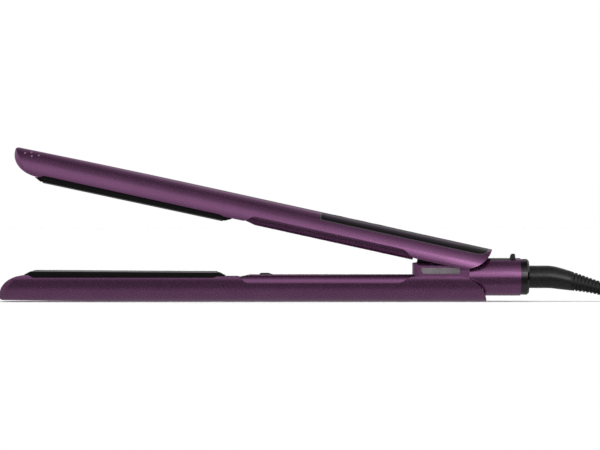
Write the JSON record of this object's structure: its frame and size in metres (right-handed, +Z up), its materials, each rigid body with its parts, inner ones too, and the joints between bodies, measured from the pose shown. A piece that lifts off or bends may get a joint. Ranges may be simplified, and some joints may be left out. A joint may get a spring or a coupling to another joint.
{
  "type": "flat iron",
  "caption": "Hair straightening iron: two hinged arms with floating heater plates, control panel, closing lock and a swivelling mains lead with plug.",
  "frame": {"origin": "middle of the iron's length, tips to the end of the strain relief, on the crown of the lower arm that it lies on; the lead past the strain relief isn't counted", "axes": "+X from the tips to the tail, +Z up from the crown of the lower arm, +Y across the arms by the right-hand rule"},
  "size_m": [0.5105, 0.0614, 0.0885],
  "materials": {
    "purple_shell": "metallic purple lacquer on moulded shell, satin gloss",
    "purple_inner": "purple moulded plastic, satin",
    "purple_housing": "metallic purple moulded housing",
    "black_carrier": "black heat-resistant plastic, fine grain",
    "plate_coating": "polished coated plate, silver grey",
    "heater_white": "white insulated ceramic element",
    "spring_steel": "bare spring steel",
    "silicone": "red silicone",
    "wire_jacket": "white silicone wire jacket",
    "fuse_body": "tinned can",
    "pad_rubber": "dark rubber",
    "inlay_grey": "grey moulded inlay",
    "steel_pin": "ground steel",
    "screw_steel": "blackened steel screws",
    "brass": "turned brass",
    "gloss_black": "gloss black plastic",
    "satin_black": "satin black plastic",
    "silver_trim": "bright silver trim line",
    "smoked_window": "smoked mauve-grey gloss window",
    "button_black": "satin black key",
    "board_green": "solder mask on glass epoxy",
    "board_components": "moulded component cases",
    "display_glass": "display module",
    "bracket_nylon": "glass-filled nylon",
    "dot_pink": "light purple pips",
    "stem_black": "satin black moulding",
    "relief_rubber": "black rubber",
    "cord_rubber": "black rubber jacket",
    "tie_black": "black band",
    "plug_black": "black moulded plug",
    "pin_metal": "nickel-plated brass pins"
  },
  "bodies": {
    "lower_arm": {"lower_shell": "purple_shell", "lower_inner_cover": "purple_inner", "lower_cover_screws": "screw_steel", "lower_plate_carrier": "black_carrier", "lower_float_cushions": "silicone", "lower_wires": "wire_jacket", "thermal_fuse": "fuse_body", "stop_pad": "pad_rubber", "hinge_block": "purple_housing", "hinge_inlays": "inlay_grey", "hinge_pin": "steel_pin", "torsion_spring": "spring_steel", "barrel_upper_half": "purple_housing", "barrel_lower_half": "purple_housing", "barrel_screws": "screw_steel", "tail_collar": "gloss_black", "contact_brushes": "brass"},
    "lower_plate": {"lower_heater_plate": "plate_coating", "lower_ptc_heater": "heater_white", "lower_heater_clamp": "spring_steel", "lower_thermistor": "heater_white"},
    "upper_arm": {"upper_shell": "purple_shell", "upper_inner_cover": "purple_inner", "upper_cover_screws": "screw_steel", "upper_plate_carrier": "black_carrier", "upper_float_cushions": "silicone", "upper_wires": "wire_jacket", "control_panel": "gloss_black", "panel_trim": "silver_trim", "display_window": "smoked_window", "circuit_board": "board_green", "board_parts": "board_components", "key_switches": "board_components", "display_module": "display_glass", "hinge_bracket": "bracket_nylon", "hinge_bushes": "brass", "bracket_screws": "screw_steel", "tip_dots": "dot_pink"},
    "upper_plate": {"upper_heater_plate": "plate_coating", "upper_ptc_heater": "heater_white", "upper_heater_clamp": "spring_steel", "upper_thermistor": "heater_white"},
    "power_key": {"power_button": "button_black"},
    "minus_key": {"minus_button": "button_black"},
    "plus_key": {"plus_button": "button_black"},
    "lock": {"lock_slider": "satin_black"},
    "cord_swivel": {"swivel_stem": "stem_black", "contact_rings": "brass", "strain_relief": "relief_rubber", "power_cord": "cord_rubber", "cord_hank": "cord_rubber", "cord_tie": "tie_black", "plug_lead": "cord_rubber", "plug_body": "plug_black", "plug_pins": "pin_metal"}
  },
  "joints": [
    {"name": "arm_hinge", "type": "hinge", "parent": "lower_arm", "child": "upper_arm", "pos_m": [0.0924, 0, 0.01662], "axis": [0, -1, 0], "range_deg": [0, 11.66], "stiffness_Nm_per_rad": 0.6, "springref_deg": -28.65, "deforming": ["torsion_spring"]},
    {"name": "lower_plate_float", "type": "slide", "parent": "lower_arm", "child": "lower_plate", "axis": [0.0063, 0, 1], "range_m": [-0.001, 0], "stiffness_N_per_m": 2500, "springref_m": 0.001, "deforming": ["lower_float_cushions"]},
    {"name": "upper_plate_float", "type": "slide", "parent": "upper_arm", "child": "upper_plate", "axis": [-0.2083, 0, -0.9781], "range_m": [-0.001, 0], "stiffness_N_per_m": 2500, "springref_m": 0.001, "deforming": ["upper_float_cushions"]},
    {"name": "lock_slide", "type": "slide", "parent": "lower_arm", "child": "lock", "axis": [-1, 0, 0], "range_m": [0, 0.006]},
    {"name": "cord_turn", "type": "hinge", "parent": "lower_arm", "child": "cord_swivel", "pos_m": [0.1264, 0, 0.0142], "axis": [1, 0, 0], "continuous": true},
    {"name": "power_press", "type": "slide", "parent": "upper_arm", "child": "power_key", "axis": [-0.2144, 0, -0.9767], "range_m": [0, 0.0004], "stiffness_N_per_m": 400, "springref_m": -0.0006},
    {"name": "minus_press", "type": "slide", "parent": "upper_arm", "child": "minus_key", "axis": [-0.2144, 0, -0.9767], "range_m": [0, 0.0004], "stiffness_N_per_m": 400, "springref_m": -0.0006},
    {"name": "plus_press", "type": "slide", "parent": "upper_arm", "child": "plus_key", "axis": [-0.2144, 0, -0.9767], "range_m": [0, 0.0004], "stiffness_N_per_m": 400, "springref_m": -0.0006}
  ]
}
